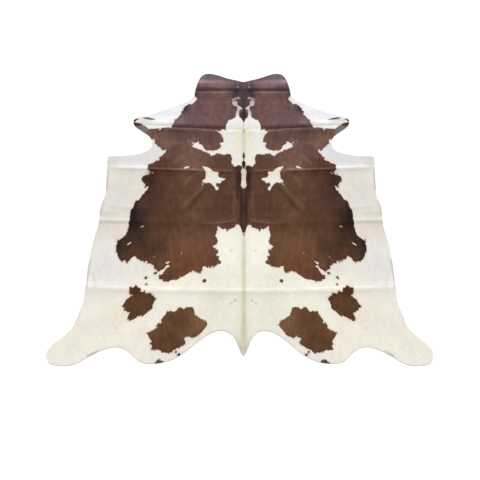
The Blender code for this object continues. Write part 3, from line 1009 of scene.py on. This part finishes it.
class SkinSettings(bpy.types.PropertyGroup):
    thickness: length("Thickness", "Thickness of the tanned leather", 0.0022, 0.001, 0.004)
    top_spacing: length("Top spacing", "Between points of the upper surface", 0.0082, 0.006, 0.05)
    under_spacing: length("Underside spacing", "Between points of the underside", 0.024, 0.01, 0.1)
    suede_light: colour("Suede", "Lighter colour of the suede underside", 0.56, 0.47, 0.36)
    suede_dark: colour("Suede shade", "Darker colour of the suede underside", 0.42, 0.34, 0.25)


class CoatSettings(bpy.types.PropertyGroup):
    across_step: length("Step across", "Between neighbouring locks", 0.0031, 0.002, 0.03)
    along_step: length("Step along", "From one row of locks to the next", 0.0054, 0.003, 0.05)
    lock_length: length("Lock length", "Usual length of a lock", 0.0165, 0.005, 0.05)
    lock_width: length("Lock width", "Usual width of a lock", 0.0042, 0.001, 0.02)
    lock_height: length("Lock height", "Height of a lock's tip over the leather", 0.0007, 0.0003, 0.01)
    gloss: strength("Gloss", "Strength of the hair's reflections", 0.03)


class EdgeSettings(bpy.types.PropertyGroup):
    step: length("Step", "Between the locks along the cut edge", 0.0011, 0.0008, 0.02)
    overhang: length("Overhang", "Reach of the hair past the cut edge", 0.0038, 0.001, 0.01)
    droop: length("Droop", "How far the hair hangs down past the cut edge", 0.0013, 0.0, 0.005)


class StageSettings(bpy.types.PropertyGroup):
    floor_size: length("Floor size", "Side of the square floor", 400.0, 3.0, 1000.0)
    floor_colour: colour("Floor", "Colour of the floor", 0.93, 0.93, 0.93)
    eye_height: length("Eye height", "Height of the camera over the floor", EYE_HEIGHT, 0.1, 20.0)
    eye_distance: length("Eye distance", "From the hind feet to below the camera", EYE_DISTANCE, 0.0, 20.0)
    eye_tilt: angle("Eye tilt", "How far the camera is raised from looking straight down", 33)
    lens: strength("Lens", "Focal length of the camera on a 36 mm sensor, in millimetres", 31.2)
    sky: strength("Sky", "Strength of the even light from all round", 0.70)
    window: strength("Window", "Strength of the soft light from behind the neck", 2.6)
    window_slant: angle("Window slant", "Angle of the soft light from straight down", 45)
    window_width: angle("Window width", "Angle over which the soft light comes in", 30)


class RugSettings(bpy.types.PropertyGroup):
    skin: PointerProperty(type=SkinSettings)
    coat: PointerProperty(type=CoatSettings)
    edge: PointerProperty(type=EdgeSettings)
    stage: PointerProperty(type=StageSettings)


# ---- operators

MAP_GAP = 0.02  # metres round each side of the skin on its bake map


class RUG_OT_skin(bpy.types.Operator):
    """Make the tanned skin: the marked hair side, the suede underside and the cut edge between them"""

    bl_idname = "rug.skin"
    bl_label = "Skin"

    def execute(self, context):
        settings = context.scene.rug.skin
        top, top_faces = filled(settings.top_spacing, seed=1)
        under, under_faces = filled(settings.under_spacing, seed=2)
        rim = len(EDGE)
        base = lift(*top.T), lift(*under.T)
        points = np.concatenate((
            placed(*top.T, base[0] + settings.thickness), placed(*under.T, base[1]),
        ))
        here = np.arange(rim)
        after = (here + 1) % rim
        below, below_after = here + len(top), after + len(top)
        walls = np.concatenate((
            np.stack((here, below, below_after), axis=1), np.stack((here, below_after, after), axis=1),
        ))
        faces = np.concatenate((top_faces, under_faces[:, ::-1] + len(top), walls))

        dark, pale = hair_colours(*top.T)
        spare = np.zeros((len(under), 3))
        mesh = mesh_from(
            "skin", points, faces,
            {
                "depth": np.concatenate((darkness_depth(*top.T), np.zeros(len(under)))),
                "underside": np.repeat((0.0, 1.0), (len(top), len(under))),
            },
            {
                "dark": np.concatenate((dark, spare)),
                "pale": np.concatenate((pale, spare)),
            },
        )
        mesh.shade_smooth()
        add_map(mesh, self.map_corners(top, under, top_faces, under_faces, walls, settings.thickness))
        mesh.materials.append(skin_material(settings))
        skin = in_scene("skin", mesh)
        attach(skin, BODY)
        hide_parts(NODE)
        return {"FINISHED"}

    @staticmethod
    def map_corners(top, under, top_faces, under_faces, walls, thickness):
        """Both sides of the skin one above the other, with the walls as a hem round the upper one."""
        low, high = EDGE.min(0), EDGE.max(0)
        wide, long = high - low + 2 * MAP_GAP
        scale = 1 / max(long, 2 * wide)
        flat = ((np.concatenate((top, under)) - low + MAP_GAP) * scale)[:, ::-1]
        flat[len(top):, 1] += wide * scale
        hem = flat[:len(EDGE)].copy()
        along = np.roll(hem, -1, axis=0) - np.roll(hem, 1, axis=0)
        along /= np.linalg.norm(along, axis=1)[:, None]
        hem += leftward(along) * thickness * scale
        wall_spots = np.concatenate((flat[:len(top)], hem))
        corners = (flat[top_faces], flat[under_faces[:, ::-1] + len(top)], wall_spots[walls])
        return np.concatenate([part.reshape(-1, 2) for part in corners])


WIDEST = 0.56  # where along a lock it is widest
ROOT_DEPTH = 0.0003
SIDE_DEPTH = 0.0002
LOCK_TURN = 0.07  # usual angle of a lock from its neighbours' way
# The least and the most of a lock's length, width, height and reach past the edge, over the usual one.
LENGTHS = (0.78, 1.18)
WIDTHS = (0.8, 1.2)
HEIGHTS = (0.75, 1.25)
OVERHANGS = (0.5, 1.3)
MOST_SHORTER = 0.75  # the part of its length that a lock can lose at the edge


def lock_points(root, way, size, settings, overhang, rng):
    """The tip and sides of a flat lock from each root, and how far they reach past the edge.

    A lock that would reach too far past the edge is kept shorter.
    """
    count = len(root)
    turn = rng.normal(0, LOCK_TURN, count)
    way = np.stack((
        way[:, 0] * np.cos(turn) - way[:, 1] * np.sin(turn),
        way[:, 0] * np.sin(turn) + way[:, 1] * np.cos(turn),
    ), axis=1)
    side = leftward(way)
    length = size * settings.lock_length * rng.uniform(*LENGTHS, count)
    outside = -depth_in_skin(*(root + way * length[:, None]).T)
    shorter = np.clip(outside - overhang * rng.uniform(*OVERHANGS, count), 0, MOST_SHORTER * length)
    length -= shorter
    outside -= shorter
    width = settings.lock_width * rng.uniform(*WIDTHS, count)
    tip = root + way * length[:, None]
    middle = root + way * (WIDEST * length)[:, None]
    left = middle + side * (width / 2)[:, None]
    right = middle - side * (width / 2)[:, None]
    return tip, left, right, outside, outside - (1 - WIDEST) * length


RIM_REACH = 0.006  # how far from a marking's border the skin shows through
RIM_TINT = (0.98, 0.84, 0.79)
RIM_SHADE = 0.74
RIM_BLUR = 0.0008
PALE_UNEVENNESS = 0.022  # how much the tone changes from lock to lock
DARK_UNEVENNESS = 0.105
SEEN_SHARE = 0.72  # where along a lock the part that shows has its middle
LOCK_FACES = np.array(((0, 1, 2), (0, 3, 1), (0, 2, 3), (1, 3, 2)))
# Where a lock's four faces lie in its cell of the bake map: the two upper ones as a kite in one half, the
# two lower ones in the other.
CELL = np.array((
    ((0.05, 0.05), (0.62, 0.62), (0.05, 0.62)),
    ((0.05, 0.05), (0.62, 0.05), (0.62, 0.62)),
    ((0.95, 0.10), (0.95, 0.50), (0.72, 0.30)),
    ((0.10, 0.95), (0.30, 0.72), (0.50, 0.95)),
))


def make_locks(name, root, way, seed, rug, material, size=1.0):
    """One piece of joined locks, each a closed shape of four faces that lies along the hair's way."""
    rng = np.random.default_rng(seed)
    settings = rug.coat
    count = len(root)
    tip, left, right, tip_out, sides_out = lock_points(root, way, size, settings, rug.edge.overhang, rng)
    rise = settings.lock_height * rng.uniform(*HEIGHTS, count)
    tip_height = rise - rug.edge.droop * smoothly(tip_out / rug.edge.overhang)
    side_height = WIDEST * rise - SIDE_DEPTH - rug.edge.droop * smoothly(sides_out / rug.edge.overhang)
    heights = (-ROOT_DEPTH, tip_height, side_height, side_height)
    points = np.empty((count, 4, 3))
    for number, (spot, height) in enumerate(zip((root, tip, left, right), heights)):
        points[:, number] = placed(*spot.T, lift(*spot.T) + rug.skin.thickness + height)
    faces = (np.arange(count) * 4)[:, None, None] + LOCK_FACES

    seen = root * (1 - SEEN_SHARE) + tip * SEEN_SHARE
    depth = darkness_depth(*seen.T)
    darkness = smoothly(depth / RIM_BLUR + 0.5)[:, None]
    rim = np.exp(-((depth / RIM_REACH) ** 2))[:, None]
    thin = 1 - rim * (1 - np.where(darkness > 0.5, RIM_SHADE, RIM_TINT))
    unevenness = PALE_UNEVENNESS * (1 - darkness) + DARK_UNEVENNESS * darkness
    tone = thin * (1 + unevenness * rng.uniform(-1, 1, (count, 1)))
    colour = np.empty((count, 4, 3))
    for corners_of, spot in (((0, 2, 3), (left + right) / 2), ((1,), tip)):
        dark, pale = hair_colours(*spot.T)
        for number in corners_of:
            colour[:, number] = (pale * (1 - darkness) + dark * darkness) * tone
    mesh = mesh_from(
        name, points.reshape(-1, 3), faces.reshape(-1, 3),
        {
            "along": np.tile((0.0, 1.0, WIDEST, WIDEST), count),
            "side": np.tile((0.0, 0.0, 1.0, -1.0), count),
            "lock": np.repeat(rng.uniform(0, 1, count), 4),
        },
        {"coat": colour.reshape(-1, 3)},
    )
    mesh.shade_flat()
    across_cells = math.ceil(math.sqrt(count))
    cell = np.stack((np.arange(count) % across_cells, np.arange(count) // across_cells), axis=1)
    add_map(mesh, (cell[:, None, None, :] + CELL) / across_cells)
    mesh.materials.append(material)
    piece = in_scene(name, mesh)
    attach(piece, BODY)
    return piece


BANDS = ("rump", "loin", "chest", "neck")
ROOT_CLEARANCE = 0.001  # from the roots to the cut edge


class RUG_OT_coat(bpy.types.Operator):
    """Make the coat: short locks that lie over each other all over the skin, in a few bands"""

    bl_idname = "rug.coat"
    bl_label = "Coat"

    def execute(self, context):
        rug = context.scene.rug
        settings = rug.coat
        steps = np.array((settings.across_step, settings.along_step))
        root = scattered(steps, steps / 2, ROOT_CLEARANCE, seed=5)
        way = hair_way(*root.T)
        material = coat_material(settings)
        bands = zip(BANDS, np.array_split(np.arange(len(root)), len(BANDS)))
        for seed, (name, band) in enumerate(bands, start=100):
            make_locks("coat_" + name, root[band], way[band], seed, rug, material)
        return {"FINISHED"}


EDGE_ROOTS = (0.0008, 0.0045)  # how far inside the cut edge its locks grow
EDGE_LEAN = 0.45  # how much they lean out over it
EDGE_LEAN_RANGE = 0.35
EDGE_LOCK_SIZE = 0.6


class RUG_OT_edge_hair(bpy.types.Operator):
    """Make the short locks along the cut edge, which lean out over it"""

    bl_idname = "rug.edge_hair"
    bl_label = "Edge hair"

    def execute(self, context):
        rug = context.scene.rug
        rng = np.random.default_rng(6)
        after = np.roll(EDGE, -1, axis=0)
        passed = np.concatenate(((0.0,), np.cumsum(np.hypot(*(after - EDGE).T))))
        spots = np.arange(0, passed[-1], rug.edge.step)
        spots = (spots + rng.uniform(0, 1, len(spots)) * rug.edge.step) % passed[-1]
        number = np.searchsorted(passed, spots, side="right") - 1
        along = (after - EDGE)[number]
        along /= np.hypot(*along.T)[:, None]
        out = -leftward(along)
        root = EDGE[number] + along * (spots - passed[number])[:, None]
        root -= out * rng.uniform(*EDGE_ROOTS, len(root))[:, None]
        lean = EDGE_LEAN + EDGE_LEAN_RANGE * rng.uniform(-1, 1, len(root))
        way = hair_way(*root.T) + out * lean[:, None]
        way /= np.hypot(*way.T)[:, None]
        material = bpy.data.materials["cow hair"]
        make_locks("edge_hair", root, way, 200, rug, material, EDGE_LOCK_SIZE)
        return {"FINISHED"}


FLOOR_GAP = 0.0002  # from the floor up to the skin


class RUG_OT_stage(bpy.types.Operator):
    """Make the floor, the light and the camera"""

    bl_idname = "rug.stage"
    bl_label = "Stage"

    def execute(self, context):
        settings = context.scene.rug.stage
        scene = context.scene
        bpy.ops.mesh.primitive_plane_add(size=settings.floor_size, location=(0, 0, -FLOOR_GAP))
        floor = context.object
        floor.name = "floor"
        nodes = Nodes("floor")
        nodes.fill(nodes.shader, {
            "Base Color": tuple(settings.floor_colour), "Roughness": 0.9, "Specular IOR Level": 0.0,
        })
        floor.data.materials.append(nodes.material)

        world = bpy.data.worlds.new("studio")
        world.use_nodes = True
        background = world.node_tree.nodes["Background"].inputs
        background["Color"].default_value = (1.0, 1.0, 1.0, 1.0)
        background["Strength"].default_value = settings.sky
        scene.world = world
        light = bpy.data.lights.new("window", "SUN")
        light.energy = settings.window
        light.angle = settings.window_width
        in_scene("window", light).rotation_euler = (-settings.window_slant, 0, 0)

        camera = bpy.data.cameras.new("camera")
        camera.lens = settings.lens
        camera.sensor_width = 36.0
        camera.shift_x = SIDEWAYS
        scene.camera = in_scene("camera", camera)
        scene.camera.location = (SPINE_X, FOOT_Y - settings.eye_distance, settings.eye_height)
        scene.camera.rotation_euler = (settings.eye_tilt, 0, 0)
        scene.view_settings.view_transform = "Standard"
        return {"FINISHED"}


class RUG_PT_panel(bpy.types.Panel):
    """The rug's steps, in the sidebar"""

    bl_idname = "RUG_PT_panel"
    bl_label = "Cowhide Rug"
    bl_space_type = "VIEW_3D"
    bl_region_type = "UI"
    bl_category = "Rug"

    def draw(self, context):
        for operator in OPERATORS:
            self.layout.operator(operator.bl_idname)


OPERATORS = (RUG_OT_skin, RUG_OT_coat, RUG_OT_edge_hair, RUG_OT_stage)
SETTINGS = (SkinSettings, CoatSettings, EdgeSettings, StageSettings, RugSettings)
CLASSES = SETTINGS + OPERATORS + (RUG_PT_panel,)


def register():
    for item in CLASSES:
        bpy.utils.register_class(item)
    bpy.types.Scene.rug = PointerProperty(type=RugSettings)


def unregister():
    del bpy.types.Scene.rug
    for item in reversed(CLASSES):
        bpy.utils.unregister_class(item)


def main():
    register()
    bpy.ops.object.select_all(action="DESELECT")
    bpy.ops.rug.skin()
    bpy.ops.rug.coat()
    bpy.ops.rug.edge_hair()
    bpy.ops.rug.stage()


if __name__ == "__main__":
    main()
